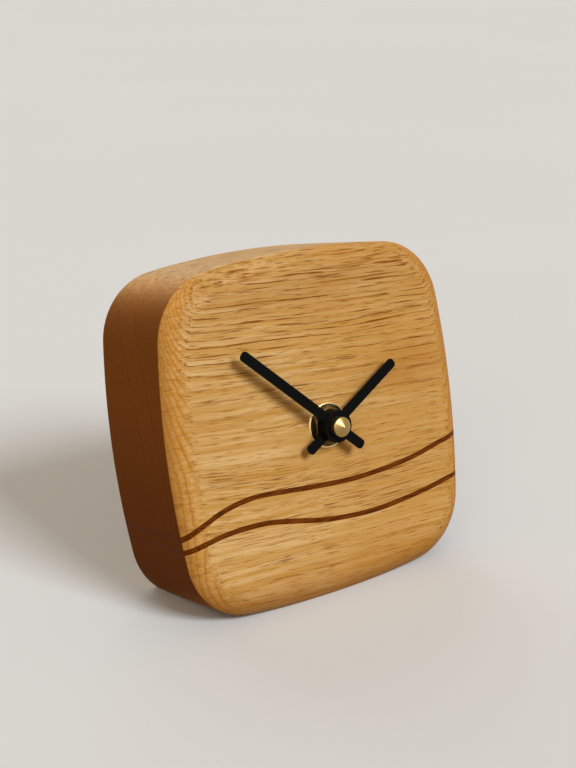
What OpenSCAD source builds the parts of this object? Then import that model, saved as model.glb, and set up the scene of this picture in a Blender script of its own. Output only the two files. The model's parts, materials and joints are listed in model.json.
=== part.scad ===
// Desk clock: an oak block that leans back on a flat base, cut by two walnut waves.
// Two bar hands turn on a brass-fitted shaft, driven by a battery movement in the back.
// Frame: +Z up, front towards -Y, origin in the middle of the flat base.

/* [Block] */
// Width and height of the block across the middle of its sides
block_w = 100; // [90:1:130]
// Radius of the gently bowed sides
side_r = 250; // [180:5:400]
// Radius of the rounded corners
corner_r = 20; // [14:0.5:26]
// Depth from the front face to the back
block_depth = 36; // [34:0.5:50]
// Width of the rounded front edge, seen from the front
edge_w = 8; // [4:0.5:11]
// Depth of the rounded front edge
edge_d = 4.5; // [2.5:0.5:6]
// Angle by which the block leans back
lean = 12; // [5:0.5:15]
// Height cut off below the front edge to make the flat base
base_cut = 0.7; // [0.3:0.1:2]
// Thickness of wood left in front of the movement
web_t = 10; // [8:0.5:12]

/* [Waves] */
// Thickness of the walnut strips
strip_t = 1.5; // [0.8:0.1:2]
// Height of the upper wave against the shaft
upper_wave_v = -16; // [-17:0.1:-13]
// Height of the lower wave against the shaft
lower_wave_v = -26; // [-30:0.1:-25]

/* [Fittings] */
// Diameter of the threaded bush
bush_d = 8; // [7:0.1:9]
// Space between the bush and its hole in the wood
hole_clear = 0.5; // [0.2:0.1:1]
// Diameter of the brass washer on the face
washer_d = 13; // [12.5:0.1:20]
// Thickness of the brass washer
washer_t = 0.5; // [0.3:0.1:1]
// Width of the hexagonal nut across its flats
nut_af = 10; // [10:0.1:12]
// Thickness of the hexagonal nut
nut_t = 1.5; // [1:0.1:2.5]
// Diameter of the rubber gasket
gasket_d = 20; // [16:0.5:26]
// Thickness of the rubber gasket
gasket_t = 1; // [0.5:0.1:2]
// Diameter of the bush flange
flange_d = 14; // [12:0.5:18]
// Thickness of the bush flange
flange_t = 1; // [0.6:0.1:1.5]
// Diameter of the cap nut on the hands
cap_d = 5.6; // [4.5:0.1:8]
// Height of the straight side of the cap nut
cap_side = 2; // [1.2:0.1:2.5]
// Height of the conical top of the cap nut
cap_cone = 1.2; // [0.6:0.1:2]

/* [Hands] */
// Hour that the hands show
shown_hour = 1; // [0:1:11]
// Minute that the hands show
shown_minute = 52; // [0:1:59]
// Angle by which the hour hand was pressed on ahead of the time
hour_lead = 2.8; // [-5:0.1:5]
// Length of the minute hand from the shaft
minute_len = 38; // [30:0.5:42]
// Length of the hour hand from the shaft
hour_len = 27.5; // [18:0.5:34]
// Length of both tails from the shaft
tail_len = 10.9; // [7:0.1:14]
// Width of the hands
hand_w = 2.8; // [2.1:0.1:4]
// Radius of the corners at the ends of the hands
hand_corner_r = 1; // [0.2:0.1:1]
// Thickness of the blades
blade_t = 0.6; // [0.4:0.1:0.9]
// Diameter of the hubs
hub_d = 9.2; // [7.5:0.1:12]
// Thickness of the hubs
hub_t = 1.3; // [1:0.1:2]

/* [Movement] */
// Wall of the plastic shells
shell_t = 1.2; // [0.8:0.1:1.5]
// Diameter of the battery
battery_d = 14.2; // [13.5:0.1:16]
// Length of the battery with its nub
battery_len = 50.5; // [49:0.1:56]
// Space between the movement and the wood around it
pocket_clear = 2; // [1:0.1:4]
// Thickness of the wheels
wheel_t = 1; // [0.8:0.05:1.1]
// Space between one layer of wheels and the next
layer_gap = 0.6; // [0.5:0.05:0.7]
// Distance from the shaft to the motion wheel
motion_dist = 9.6; // [9:0.1:10]
// Distance from the shaft to the third wheel
third_dist = 11.2; // [10.5:0.1:12]
// Distance from the intermediate wheel to the rotor
rotor_dist = 9.6; // [9:0.1:10]
// Diameter of the rotor magnet
magnet_d = 6; // [5:0.1:6.5]
// Diameter of the setting knob
knob_d = 11; // [9:0.5:12]
// Height of the setting knob
knob_h = 3.5; // [3:0.1:4]

/* [Hidden] */
$fn = 96;

// Fits: play of a turning shaft, of a pressed or glued piece, and of a turning face
run_clear = 0.08;
press_clear = 0.02;
face_play = 0.3;
// How far a cut runs on past the face that it opens
cut_over = 1;

// Outline of the block: circle centres of the sides and corners, and where they join
side_c = block_w / 2 - side_r;
corner_c = (side_c + sqrt(2 * pow(side_r - corner_r, 2) - pow(side_c, 2))) / 2;
join_angle = atan2(corner_c, corner_c - side_c);
edge_arc_r = (edge_w * edge_w + edge_d * edge_d) / (2 * edge_d);
edge_sweep = asin(edge_w / edge_arc_r);
edge_steps = 8;
side_steps = 5;
corner_steps = 12;

// Place of the face centre above the middle of the base
cut_v = -block_w / 2 + base_cut;
face_z = -cut_v * cos(lean) + edge_d * sin(lean);
back_cut_v = (block_depth * sin(lean) - face_z) / cos(lean);
base_front_y = cut_v * sin(lean) + edge_d * cos(lean);
base_back_y = back_cut_v * sin(lean) + block_depth * cos(lean);
face_y = -(base_front_y + base_back_y) / 2;

// Wave courses from left to right: place across the face, height against the wave's own height
upper_course = [[-48, -5.3], [-44, -2.8], [-39, -0.7], [-33, 0.7], [-26, 1.3], [-16, 0.5], [-4, -0.6],
    [8, -1.2], [20, -0.7], [30, 0.4], [40, 2.5], [48, 3.8]];
lower_course = [[-48, 0.6], [-43, 2.4], [-37, 3.3], [-30, 3.5], [-23, 3.1], [-15, 1.6], [-6, -0.3],
    [4, -1.6], [14, -2], [24, -1.4], [34, -0.3], [42, 1], [48, 1.3]];
wave_step = 1.6;
wave_over = 4;
slope_step = 0.01;

// Shafts, from the middle outwards
staff_r = 0.5;
pivot_r = 0.4;
thread_r = 1.25;
arbor_r = 1.65;
tube_wall = 0.75;
tube_bore_r = arbor_r + run_clear;
tube_r = tube_bore_r + tube_wall;
bush_r = bush_d / 2;
bush_bore_r = tube_r + run_clear;

// Levels in front of the face
bush_proud = 0.2;
hub_gap = 0.2;
thread_gap = 0.1;
nut_n = washer_t;
bush_end_n = nut_n + nut_t + bush_proud;
hour_hub_n = bush_end_n + hub_gap;
minute_hub_n = hour_hub_n + hub_t + face_play;
cap_n = minute_hub_n + hub_t;
cap_top_n = cap_n + cap_side + cap_cone;
minute_angle = 6 * shown_minute;
hour_angle = 30 * (shown_hour + shown_minute / 60) + hour_lead;

// Depths inside the movement, behind its front face
movement_n = -(web_t + gasket_t + flange_t);
pinion_over = 0.2;
hour_w = shell_t + face_play;
cannon_w = hour_w + wheel_t + layer_gap;
center_w = cannon_w + wheel_t + layer_gap;
third_w = center_w + wheel_t + layer_gap;
second_w = third_w + wheel_t + layer_gap;
inter_w = second_w + wheel_t + layer_gap;
bridge_w = inter_w + wheel_t + layer_gap;
battery_play = 0.1;
battery_w = shell_t + battery_play + battery_d / 2;
battery_proud = 0.5;
movement_d = battery_w + battery_d / 2 + battery_proud;
cover_w = movement_d - shell_t;

// Tooth counts: motion work, going train and step motor
cannon_z = 12;
motion_z = 36;
motion_pinion_z = 10;
hour_z = 40;
setting_z = 12;
center_z = 48;
third_pinion_z = 6;
third_z = 45;
second_pinion_z = 6;
second_z = 36;
inter_pinion_z = 6;
inter_z = 40;
rotor_z = 8;

// Tooth shapes in modules, and as shares of the tooth pitch
wheel_tip = 0.85;
wheel_root = -1.2;
wheel_tip_share = 0.09;
wheel_root_share = 0.25;
pinion_tip = 0.6;
pinion_root = -1.3;
pinion_tip_share = 0.1;
pinion_root_share = 0.16;

// Modules and places of the wheels, u to the right and v up from the shaft
function pair_module(dist, za, zb) = 2 * dist / (za + zb);
function tip_r(z, m) = m * z / 2 + wheel_tip * m;
cannon_m = pair_module(motion_dist, cannon_z, motion_z);
hour_m = pair_module(motion_dist, motion_pinion_z, hour_z);
center_m = pair_module(third_dist, center_z, third_pinion_z);
third_m = pair_module(third_dist, third_z, second_pinion_z);
center_tip = tip_r(center_z, center_m);
inter_room = 0.8;
inter_dist = center_tip + staff_r + inter_room;
second_m = pair_module(inter_dist, second_z, inter_pinion_z);
rotor_m = pair_module(rotor_dist, inter_z, rotor_z);
setting_dist = cannon_m * (motion_z + setting_z) / 2;

setting_dir = -25;
third_dir = 150;
inter_dir = 50;
function polar(r, a) = [r * cos(a), r * sin(a)];
motion_at = polar(motion_dist, 0);
setting_at = motion_at + polar(setting_dist, setting_dir);
third_at = polar(third_dist, third_dir);
inter_at = polar(inter_dist, inter_dir);
rotor_at = inter_at + polar(rotor_dist, 0);

// Angle of a wheel whose teeth mesh with those of wheel a, which lies in direction dir from it
function mesh(dir, angle_a, za, zb) = dir + 180 + 180 / zb + za / zb * (dir - angle_a);
motion_phase = mesh(0, 0, cannon_z, motion_z);
setting_phase = mesh(setting_dir, motion_phase, motion_z, setting_z);
hour_phase = mesh(180, 0, motion_pinion_z, hour_z);
third_pinion_phase = mesh(third_dir, 0, center_z, third_pinion_z);
third_phase = mesh(third_dir, 0, second_pinion_z, third_z);
inter_pinion_phase = mesh(inter_dir, 0, second_z, inter_pinion_z);
rotor_phase = mesh(0, 0, inter_z, rotor_z);

// Step motor: flat stator round the rotor, coil above it
stator_t = 1;
stator_w = third_w - face_play;
rotor_gap = 0.5;
stator_bore_r = magnet_d / 2 + rotor_gap;
stator_rim = 0.9;
stator_reach = 12;
leg_w = 2.6;
core_h = 2.6;
pole_side = 2;
link_over = 2;
stator_left = rotor_at[0] - stator_reach;
stator_right = rotor_at[0] + stator_bore_r + stator_rim + leg_w;
pole_left = rotor_at[0] - stator_bore_r - stator_rim - pole_side;
pole_bottom = rotor_at[1] - stator_bore_r - stator_rim;
pole_top = rotor_at[1] + stator_bore_r + stator_rim;
link_bottom = inter_at[1] + leg_w;
coil_dist = 13.4;
coil_v = rotor_at[1] + coil_dist;
coil_w = stator_w + stator_t / 2;
barrel_r = 2;
winding_r = 3.9;
flange_r = 4.2;
bobbin_cheek = 0.8;
bobbin_left = stator_left + leg_w + face_play;
bobbin_right = stator_right - leg_w - face_play;
magnet_over = 0.8;
magnet_h = stator_t + 2 * magnet_over;
magnet_w = coil_w - magnet_h / 2;

// Movement box: battery bay under a rib, coil under the top wall
wheel_room = 0.9;
rib_t = 0.7;
battery_side = 0.3;
battery_under = 0.4;
contact_room = 3.1;
contact_t = 0.4;
movement_w = battery_len + contact_room + 2 * shell_t;
rib_top = -(center_tip + wheel_room);
rib_bottom = rib_top - rib_t;
battery_v = rib_bottom - battery_side - battery_d / 2;
bay_bottom = battery_v - battery_d / 2 - battery_under;
box_bottom = bay_bottom - shell_t;
box_top = coil_v + flange_r + face_play + shell_t;
box_left = -movement_w / 2;
box_right = movement_w / 2;
inner_left = box_left + shell_t;
inner_right = box_right - shell_t;
inner_top = box_top - shell_t;
box_corner_r = 2;
pocket_corner_r = box_corner_r + pocket_clear;

// Battery along u, its nub just off the right contact
nub_h = 1;
nub_r = 2.7;
battery_right = inner_right - contact_t - battery_play;
battery_left = battery_right - battery_len;

// Posts that carry the bridge, the stator and the circuit board
post_r = 1.6;
spigot_r = 0.9;
small_post_r = 1.2;
boss_r = 1.3;
boss_gap = 0.35;
post_wall_gap = 0.6;
post_inset = 2.5;
post_rise = 6.4;
post_pole_gap = 1.4;
post_low = rib_top + post_r + post_wall_gap;
post_left = inner_left + post_r + post_inset;
post_right = inner_right - post_r - post_wall_gap;
bridge_posts = [
    [post_left, post_low],
    [post_left, third_at[1] + post_rise],
    [post_right, post_low],
    [post_right, pole_bottom - post_r - post_pole_gap],
];
bridge_margin = 0.3;
bridge_edge = 1;
shaft_room = 0.6;
bridge_top = bridge_posts[1][1] + post_r + bridge_margin;
board_gap = 0.8;
board_len = 20;
board_wheel_gap = 1.4;
board_left = inner_left + board_gap;
board_right = board_left + board_len;
board_bottom = third_at[1] + tip_r(third_z, third_m) + board_wheel_gap;
board_top = inner_top - board_gap;
board_w = second_w;
board_t = 1;
board_post_inset = small_post_r + 1;
board_posts = [
    [board_left + board_post_inset, board_top - board_post_inset],
    [board_right - board_post_inset, board_top - board_post_inset],
];
stator_post_drop = 6;
stator_posts = [
    [stator_left + leg_w / 2, coil_v - stator_post_drop],
    [stator_right - leg_w / 2, coil_v - stator_post_drop],
];

// Setting knob behind the cover
setting_r = 1.5;
knob_w = movement_d + face_play;
knob_groove_r = 0.5;
knob_grooves = 20;

// Places a piece drawn on the face: x across it, y up it, z out of it
module on_face() {
    translate([0, face_y, face_z]) rotate([90 - lean, 0, 0]) children();
}

// A flat shape as a plate between two levels in front of the face
module plate(n, t) {
    translate([0, 0, n]) linear_extrude(t) children();
}

// A flat shape as a plate in the movement, from depth w backwards
module layer(w, t) {
    plate(movement_n - w - t, t) children();
}

module box_2d(left, bottom, right, top) {
    translate([left, bottom]) square([right - left, top - bottom]);
}

module round_box_2d(left, bottom, right, top, r) {
    box_2d(left + r, bottom, right - r, top);
    box_2d(left, bottom + r, right, top - r);
    for (u = [left + r, right - r])
        for (v = [bottom + r, top - r])
            translate([u, v]) circle(r);
}

// Outline of the block, moved inwards by an inset: four side arcs and four corner arcs
side_arc = [for (k = [-side_steps:side_steps - 1]) join_angle * k / side_steps];
corner_arc = [for (k = [0:corner_steps - 1]) join_angle + (90 - 2 * join_angle) * k / corner_steps];
function quarter(inset) = concat(
    [for (a = side_arc) [side_c, 0] + polar(side_r - inset, a)],
    [for (a = corner_arc) [corner_c, corner_c] + polar(corner_r - inset, a)]);
function turned(p, a) = [p[0] * cos(a) - p[1] * sin(a), p[0] * sin(a) + p[1] * cos(a)];
function outline(inset) = [for (turn = [0:90:270]) for (p = quarter(inset)) turned(p, turn)];

// The whole oak block before it is cut along the waves: rings from the back to the front face
module block() {
    edge_rings = [for (k = [edge_steps:-1:0])
        let (a = edge_sweep * k / edge_steps)
        [edge_w - edge_arc_r * sin(a), edge_arc_r * (cos(a) - 1)]];
    rings = concat([[0, -block_depth]], edge_rings);
    n = len(outline(0));
    last = len(rings) - 1;
    points = [for (ring = rings) for (p = outline(ring[0])) [p[0], p[1], ring[1]]];
    walls = [for (k = [0:last - 1]) for (i = [0:n - 1])
        let (j = (i + 1) % n)
        [k * n + i, (k + 1) * n + i, (k + 1) * n + j, k * n + j]];
    back = [for (i = [0:n - 1]) i];
    front = [for (i = [n - 1:-1:0]) last * n + i];
    polyhedron(points, concat([back], walls, [front]));
}

// Half space above the table, as large as the block needs
module above_table() {
    reach = 2 * block_w;
    translate([-reach, -reach, 0]) cube(2 * reach);
}

// Pocket for the movement and hole for its bush, drawn on the face
module pocket() {
    plate(-block_depth - cut_over, block_depth + cut_over - web_t)
        round_box_2d(box_left - pocket_clear, box_bottom - pocket_clear,
            box_right + pocket_clear, box_top + pocket_clear, pocket_corner_r);
    plate(-web_t - cut_over, web_t + 2 * cut_over) circle(bush_r + hole_clear);
}

// Smooth course through hand-set points: slope at a point, then height and slope anywhere
function course_slope(p, i) =
    let (a = max(i - 1, 0), b = min(i + 1, len(p) - 1))
    (p[b][1] - p[a][1]) / (p[b][0] - p[a][0]);
function course_span(p, u, i = 0) = i >= len(p) - 2 || u < p[i + 1][0] ? i : course_span(p, u, i + 1);
function course_height(p, u) =
    let (
        i = course_span(p, u),
        d = p[i + 1][0] - p[i][0],
        x = u - p[i][0],
        t = x / d,
        m0 = course_slope(p, i),
        m1 = course_slope(p, i + 1)
    )
    t < 0 ? p[i][1] + m0 * x :
    t > 1 ? p[i + 1][1] + m1 * (x - d) :
    p[i][1] * (1 + 2 * t) * pow(1 - t, 2) + p[i + 1][1] * t * t * (3 - 2 * t)
        + d * t * (1 - t) * (m0 * (1 - t) - m1 * t);

// One side of a walnut strip: the course moved sideways by half the strip
function strip_edge(p, v, side) =
    let (
        reach = block_w / 2 + wave_over,
        count = ceil(2 * reach / wave_step)
    )
    [for (k = [0:count])
        let (
            u = -reach + 2 * reach * k / count,
            rise = course_height(p, u + slope_step) - course_height(p, u - slope_step),
            slope = rise / (2 * slope_step),
            off = side * strip_t / 2 / sqrt(1 + slope * slope)
        )
        [u - slope * off, v + course_height(p, u) + off]];
function backwards(list) = [for (k = [len(list) - 1:-1:0]) list[k]];

upper_top = strip_edge(upper_course, upper_wave_v, 1);
upper_low = strip_edge(upper_course, upper_wave_v, -1);
lower_top = strip_edge(lower_course, lower_wave_v, 1);
lower_low = strip_edge(lower_course, lower_wave_v, -1);
far_v = block_w;
above_all = [[block_w, far_v], [-block_w, far_v]];
below_all = [[block_w, -far_v], [-block_w, -far_v]];

// The part of the block inside an outline drawn on the face
module wood(outline) {
    intersection() {
        on_face() difference() {
            intersection() {
                block();
                plate(-block_depth - cut_over, block_depth + 2 * cut_over) polygon(outline);
            }
            pocket();
        }
        above_table();
    }
}

module case_upper() {
    color("burlywood") wood(concat(upper_top, above_all));
}

module case_band() {
    color("burlywood") wood(concat(lower_top, backwards(upper_low)));
}

module case_foot() {
    color("burlywood") wood(concat(lower_low, below_all));
}

module inlay_upper() {
    color("saddlebrown") wood(concat(upper_low, backwards(upper_top)));
}

module inlay_lower() {
    color("saddlebrown") wood(concat(lower_low, backwards(lower_top)));
}

module ring_2d(r, bore_r) {
    difference() {
        circle(r);
        circle(bore_r);
    }
}

module face_washer() {
    color("goldenrod") on_face() plate(0, washer_t) ring_2d(washer_d / 2, bush_r + press_clear);
}

module bush_nut() {
    color("goldenrod") on_face() plate(nut_n, nut_t) difference() {
        rotate(30) circle(nut_af / 2 / cos(30), $fn = 6);
        circle(bush_r + press_clear);
    }
}

// The bush runs from the floor of the movement case, through the wood, to the front of its nut
module threaded_bush() {
    color("goldenrod") on_face() {
        plate(movement_n - shell_t, bush_end_n - movement_n + shell_t) ring_2d(bush_r, bush_bore_r);
        plate(movement_n, flange_t) ring_2d(flange_d / 2, bush_r - tube_wall);
    }
}

module rubber_gasket() {
    color("dimgray") on_face() plate(-web_t - gasket_t, gasket_t)
        ring_2d(gasket_d / 2, bush_r + press_clear);
}

// A bar hand with rounded corners, pointing at an angle clockwise from twelve
module hand(n, length, angle, bore_r) {
    rotate(-angle) difference() {
        union() {
            plate(n, hub_t) circle(hub_d / 2);
            plate(n + (hub_t - blade_t) / 2, blade_t)
                round_box_2d(-hand_w / 2, -tail_len, hand_w / 2, length, hand_corner_r);
        }
        plate(n - cut_over, hub_t + 2 * cut_over) circle(bore_r);
    }
}

module hour_hand() {
    color("black") on_face() hand(hour_hub_n, hour_len, hour_angle, tube_r + press_clear);
}

module minute_hand() {
    color("black") on_face() hand(minute_hub_n, minute_len, minute_angle, arbor_r + press_clear);
}

module cap_nut() {
    tip = 0.4;
    rim = 0.15;
    color("gold") on_face() difference() {
        rotate_extrude() polygon([
            [0, cap_n], [cap_d / 2, cap_n], [cap_d / 2, cap_n + cap_side - rim],
            [cap_d / 2 - rim, cap_n + cap_side], [tip, cap_top_n - tip / 4], [0, cap_top_n],
        ]);
        plate(cap_n - cut_over, cap_side + cut_over) circle(thread_r + press_clear);
    }
}

// Teeth of a wheel, as points round its rim; each row is side, height in modules and half width
function tooth_ring(z, m, rows) =
    [for (i = [0:z - 1]) for (p = rows) polar(m * z / 2 + p[1] * m, 360 / z * (i + p[0] * p[2]))];

module wheel_2d(z, m, angle = 0) {
    rotate(angle) polygon(tooth_ring(z, m, [
        [-1, wheel_root, wheel_root_share], [-1, wheel_tip, wheel_tip_share],
        [1, wheel_tip, wheel_tip_share], [1, wheel_root, wheel_root_share],
    ]));
}

module pinion_2d(z, m, angle = 0) {
    rotate(angle) polygon(tooth_ring(z, m, [
        [-1, pinion_root, pinion_root_share], [-1, pinion_tip, pinion_tip_share],
        [1, pinion_tip, pinion_tip_share], [1, pinion_root, pinion_root_share],
    ]));
}

pivot_len = 2 * face_play;
pivot_hole_depth = 1;

// A shaft with a pivot at each end, in its boss in front and in the bridge behind
module pivoted_shaft(front_w, back_w, r) {
    layer(front_w, back_w - front_w) circle(r);
    layer(front_w - pivot_len, back_w - front_w + 2 * pivot_len) circle(pivot_r);
}

module boss(at, end_w, r) {
    translate(at) layer(shell_t, end_w - shell_t) circle(r);
}

module pivot_hole(at, w) {
    translate(at) layer(w - pivot_hole_depth, pivot_hole_depth + cut_over) circle(pivot_r + run_clear);
}

third_boss_w = center_w - pinion_over - boss_gap;
inter_boss_w = center_w - pinion_over - boss_gap;
rotor_boss_w = magnet_w - boss_gap;
motion_post_w = cannon_w + wheel_t + pinion_over;
motion_post_r = 0.8;
setting_boss_w = cannon_w - boss_gap;

// Front shell of the movement, with the battery bay, posts and bosses
module movement_case() {
    color([0.12, 0.12, 0.13]) on_face() difference() {
        union() {
            layer(0, cover_w) difference() {
                round_box_2d(box_left, box_bottom, box_right, box_top, box_corner_r);
                box_2d(inner_left, rib_top, inner_right, inner_top);
                box_2d(inner_left, bay_bottom, inner_right, rib_bottom);
            }
            layer(0, shell_t) box_2d(inner_left, bay_bottom, inner_right, inner_top);
            for (at = bridge_posts) {
                boss(at, bridge_w, post_r);
                boss(at, bridge_w + shell_t, spigot_r);
            }
            for (at = board_posts) boss(at, board_w, small_post_r);
            for (at = stator_posts) boss(at, stator_w, small_post_r);
            boss(third_at, third_boss_w, boss_r);
            boss(inter_at, inter_boss_w, boss_r);
            boss(rotor_at, rotor_boss_w, boss_r);
            boss(motion_at, motion_post_w, motion_post_r);
            boss(setting_at, setting_boss_w, boss_r);
        }
        layer(-cut_over, shell_t + 2 * cut_over) circle(bush_r + press_clear);
        pivot_hole(third_at, third_boss_w);
        pivot_hole(inter_at, inter_boss_w);
        pivot_hole(rotor_at, rotor_boss_w);
        pivot_hole(setting_at, setting_boss_w);
    }
}

// Cover over the wheels; its tabs reach down inside the side walls
module movement_cover() {
    tab_len = 8;
    tab_t = 0.8;
    tab_h = 1.5;
    color([0.12, 0.12, 0.13]) on_face() {
        layer(cover_w, shell_t) difference() {
            round_box_2d(box_left, rib_bottom, box_right, box_top, box_corner_r / 4);
            translate(setting_at) circle(setting_r + run_clear);
        }
        layer(cover_w - tab_h, tab_h) {
            box_2d(inner_left + press_clear, 0, inner_left + press_clear + tab_t, tab_len);
            box_2d(inner_right - press_clear - tab_t, tab_len, inner_right - press_clear, 2 * tab_len);
            box_2d(-tab_len / 2, inner_top - press_clear - tab_t, tab_len / 2, inner_top - press_clear);
        }
    }
}

// Plate behind the wheels that holds their back pivots
module wheel_bridge() {
    left = bridge_posts[0][0] - post_r - bridge_margin;
    low = post_low - post_r - bridge_margin;
    right_top = bridge_posts[3][1] + post_r + bridge_margin;
    color("gainsboro") on_face() layer(bridge_w, shell_t) difference() {
        union() {
            box_2d(left, low, rotor_at[0] + boss_r + bridge_edge,
                max(bridge_top, rotor_at[1] + boss_r + bridge_edge));
            box_2d(left, low, bridge_posts[2][0] + post_r + bridge_margin, right_top);
        }
        for (at = bridge_posts) translate(at) circle(spigot_r + press_clear);
        for (at = [[0, 0], third_at, inter_at, rotor_at]) translate(at) circle(pivot_r + run_clear);
        translate(setting_at) circle(setting_r + shaft_room);
    }
}

// Hour wheel with its tube, which carries the hour hand
module hour_wheel() {
    front = hour_hub_n + hub_t;
    color("ivory") on_face() difference() {
        union() {
            layer(hour_w, wheel_t) wheel_2d(hour_z, hour_m, hour_phase);
            plate(movement_n - hour_w, front - movement_n + hour_w) circle(tube_r);
        }
        plate(movement_n - hour_w - wheel_t - cut_over, front - movement_n + hour_w + wheel_t + 2 * cut_over)
            circle(tube_bore_r);
    }
}

// Hollow minute arbor with the cannon pinion, a seat for the centre wheel and a thread in front
module minute_arbor() {
    back_w = center_w + wheel_t + pinion_over;
    front = cap_n + cap_side - thread_gap;
    color("lightgray") on_face() difference() {
        union() {
            layer(cannon_w, wheel_t) pinion_2d(cannon_z, cannon_m);
            plate(movement_n - back_w, cap_n - movement_n + back_w) circle(arbor_r);
            plate(cap_n, front - cap_n) circle(thread_r);
        }
        plate(movement_n - back_w - cut_over, cap_n - movement_n + back_w + cut_over - face_play)
            circle(staff_r + run_clear);
    }
}

module motion_wheel() {
    color("ivory") on_face() translate(motion_at) difference() {
        union() {
            layer(cannon_w, wheel_t) wheel_2d(motion_z, cannon_m, motion_phase);
            layer(hour_w, cannon_w - hour_w) pinion_2d(motion_pinion_z, hour_m);
        }
        layer(hour_w - cut_over, cannon_w - hour_w + wheel_t + 2 * cut_over)
            circle(motion_post_r + run_clear);
    }
}

module setting_pinion() {
    color("ivory") on_face() translate(setting_at) {
        layer(cannon_w, wheel_t) pinion_2d(setting_z, cannon_m, setting_phase);
        layer(setting_boss_w + boss_gap / 2, knob_w + knob_h / 2 - setting_boss_w - boss_gap / 2)
            circle(setting_r);
        layer(setting_boss_w - pivot_len, 2 * pivot_len) circle(pivot_r);
    }
}

module setting_knob() {
    color([0.12, 0.12, 0.13]) on_face() translate(setting_at) difference() {
        layer(knob_w, knob_h) difference() {
            circle(knob_d / 2);
            for (k = [1:knob_grooves])
                translate(polar(knob_d / 2 + knob_groove_r / 4, 360 / knob_grooves * k))
                    circle(knob_groove_r, $fn = 24);
        }
        layer(knob_w - cut_over, knob_h / 2 + cut_over) circle(setting_r + press_clear);
    }
}

// Centre wheel, which slips on the minute arbor while the hands are set
module center_wheel() {
    color("ivory") on_face() layer(center_w, wheel_t) difference() {
        wheel_2d(center_z, center_m);
        circle(arbor_r + run_clear);
    }
}

module third_wheel() {
    color("ivory") on_face() translate(third_at) {
        layer(third_w, wheel_t) wheel_2d(third_z, third_m, third_phase);
        layer(center_w - pinion_over, wheel_t + 2 * pinion_over)
            pinion_2d(third_pinion_z, center_m, third_pinion_phase);
        pivoted_shaft(third_boss_w + boss_gap / 2, bridge_w - boss_gap / 2, staff_r);
    }
}

// Second wheel; its staff runs forward inside the minute arbor
module second_wheel() {
    staff_front = cap_n - pivot_len;
    color("ivory") on_face() {
        layer(second_w, wheel_t) wheel_2d(second_z, second_m);
        layer(third_w - pinion_over, wheel_t + 2 * pinion_over) pinion_2d(second_pinion_z, third_m);
        plate(movement_n - bridge_w + boss_gap / 2, staff_front - movement_n + bridge_w - boss_gap / 2)
            circle(staff_r);
        layer(second_w, bridge_w + pivot_len - second_w) circle(pivot_r);
    }
}

module intermediate_wheel() {
    color("ivory") on_face() translate(inter_at) {
        layer(inter_w, wheel_t) wheel_2d(inter_z, rotor_m);
        layer(second_w - pinion_over, wheel_t + 2 * pinion_over)
            pinion_2d(inter_pinion_z, second_m, inter_pinion_phase);
        pivoted_shaft(inter_boss_w + boss_gap / 2, bridge_w - boss_gap / 2, staff_r);
    }
}

module rotor_pinion() {
    color("ivory") on_face() translate(rotor_at) {
        layer(inter_w - pinion_over, wheel_t + 2 * pinion_over) pinion_2d(rotor_z, rotor_m, rotor_phase);
        pivoted_shaft(rotor_boss_w + boss_gap / 2, bridge_w - boss_gap / 2, staff_r);
    }
}

module rotor_magnet() {
    color("slategray") on_face() translate(rotor_at)
        layer(magnet_w, magnet_h) ring_2d(magnet_d / 2, staff_r + press_clear);
}

// One-piece stator: pole plate round the rotor, two legs, and the core through the coil
module stator() {
    color("silver") on_face() layer(stator_w, stator_t) difference() {
        union() {
            box_2d(pole_left, pole_bottom, stator_right, pole_top);
            box_2d(stator_left, link_bottom, pole_left + link_over, link_bottom + leg_w);
            box_2d(stator_left, link_bottom, stator_left + leg_w, coil_v + core_h / 2);
            box_2d(stator_right - leg_w, pole_bottom, stator_right, coil_v + core_h / 2);
            box_2d(stator_left, coil_v - core_h / 2, stator_right, coil_v + core_h / 2);
        }
        translate(rotor_at) circle(stator_bore_r);
    }
}

// Places a round piece along the coil, from its left end u
module along_coil(u) {
    translate([u, coil_v, movement_n - coil_w]) rotate([0, 90, 0]) children();
}

module coil_bobbin() {
    length = bobbin_right - bobbin_left;
    color("whitesmoke") on_face() difference() {
        union() {
            along_coil(bobbin_left) cylinder(h = length, r = barrel_r);
            for (u = [bobbin_left, bobbin_right - bobbin_cheek])
                along_coil(u) cylinder(h = bobbin_cheek, r = flange_r);
        }
        along_coil(bobbin_left + length / 2)
            cube([stator_t + 2 * press_clear, core_h + 2 * press_clear, length + 2 * cut_over],
                center = true);
    }
}

module coil_winding() {
    length = bobbin_right - bobbin_left - 2 * bobbin_cheek;
    color("peru") on_face() along_coil(bobbin_left + bobbin_cheek)
        linear_extrude(length) ring_2d(winding_r, barrel_r + press_clear);
}

module circuit_board() {
    color("darkgreen") on_face() layer(board_w, board_t)
        box_2d(board_left, board_bottom, board_right, board_top);
}

crystal_r = 1;
crystal_len = 6;
crystal_inset = 2;
chip_inset = 5;
board_mid = (board_bottom + board_top) / 2;

module crystal_can() {
    color("silver") on_face()
        translate([board_left + crystal_inset, board_mid,
            movement_n - board_w - board_t - crystal_r - press_clear])
            rotate([0, 90, 0]) cylinder(h = crystal_len, r = crystal_r);
}

// Drop of black resin over the chip: a low cap of a ball
module chip_cover() {
    drop_r = 2.4;
    drop_h = 0.9;
    ball_r = (drop_r * drop_r + drop_h * drop_h) / (2 * drop_h);
    board_back = movement_n - board_w - board_t;
    color([0.08, 0.08, 0.08]) on_face() intersection() {
        translate([board_right - chip_inset, board_mid, board_back + ball_r - drop_h]) sphere(ball_r);
        plate(board_back - drop_h - cut_over, drop_h + cut_over)
            box_2d(board_left, board_bottom, board_right, board_top);
    }
}

contact_span = 11;
contact_low = battery_v - contact_span / 2;
contact_high = battery_v + contact_span / 2;
contact_w = shell_t;
contact_h = 11;

module contact_positive() {
    color("silver") on_face() layer(contact_w, contact_h)
        box_2d(inner_right - contact_t, contact_low, inner_right, contact_high);
}

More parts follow.
